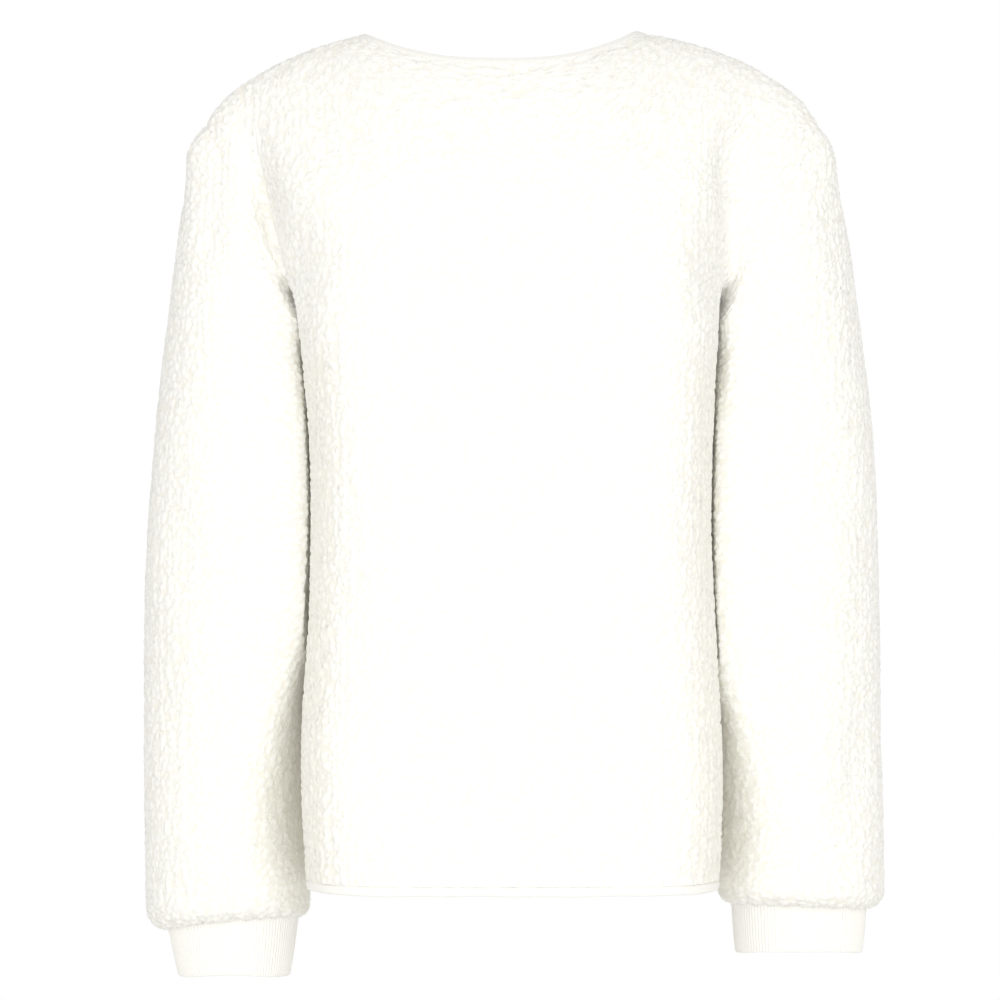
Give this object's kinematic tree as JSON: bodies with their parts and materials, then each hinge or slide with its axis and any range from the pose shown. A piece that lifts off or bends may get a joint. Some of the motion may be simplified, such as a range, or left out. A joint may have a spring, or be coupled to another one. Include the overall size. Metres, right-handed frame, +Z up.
{
  "type": "cardigan",
  "caption": "Collarless drop-shoulder cardigan in ivory teddy fleece, with rib cuffs and a narrow smooth binding round the neck, fronts and hem, filled out as worn.",
  "frame": {"origin": "middle of the shoulder line, where the garment hangs on its wearer's shoulders", "axes": "+Z up, +Y out of the back, +X towards the wearer's left"},
  "size_m": [0.539, 0.214, 0.6793],
  "materials": {
    "teddy_fleece": "matt curled pile",
    "rib_knit": "fine 1 x 1 rib, matt",
    "jersey_binding": "smooth jersey, matt"
  },
  "bodies": {
    "root": {"back": "teddy_fleece", "front_left": "teddy_fleece", "front_right": "teddy_fleece", "sleeve_left": "teddy_fleece", "sleeve_right": "teddy_fleece", "cuff_left": "rib_knit", "cuff_right": "rib_knit", "hem_band": "jersey_binding", "neck_and_front_band": "jersey_binding"}
  },
  "joints": []
}
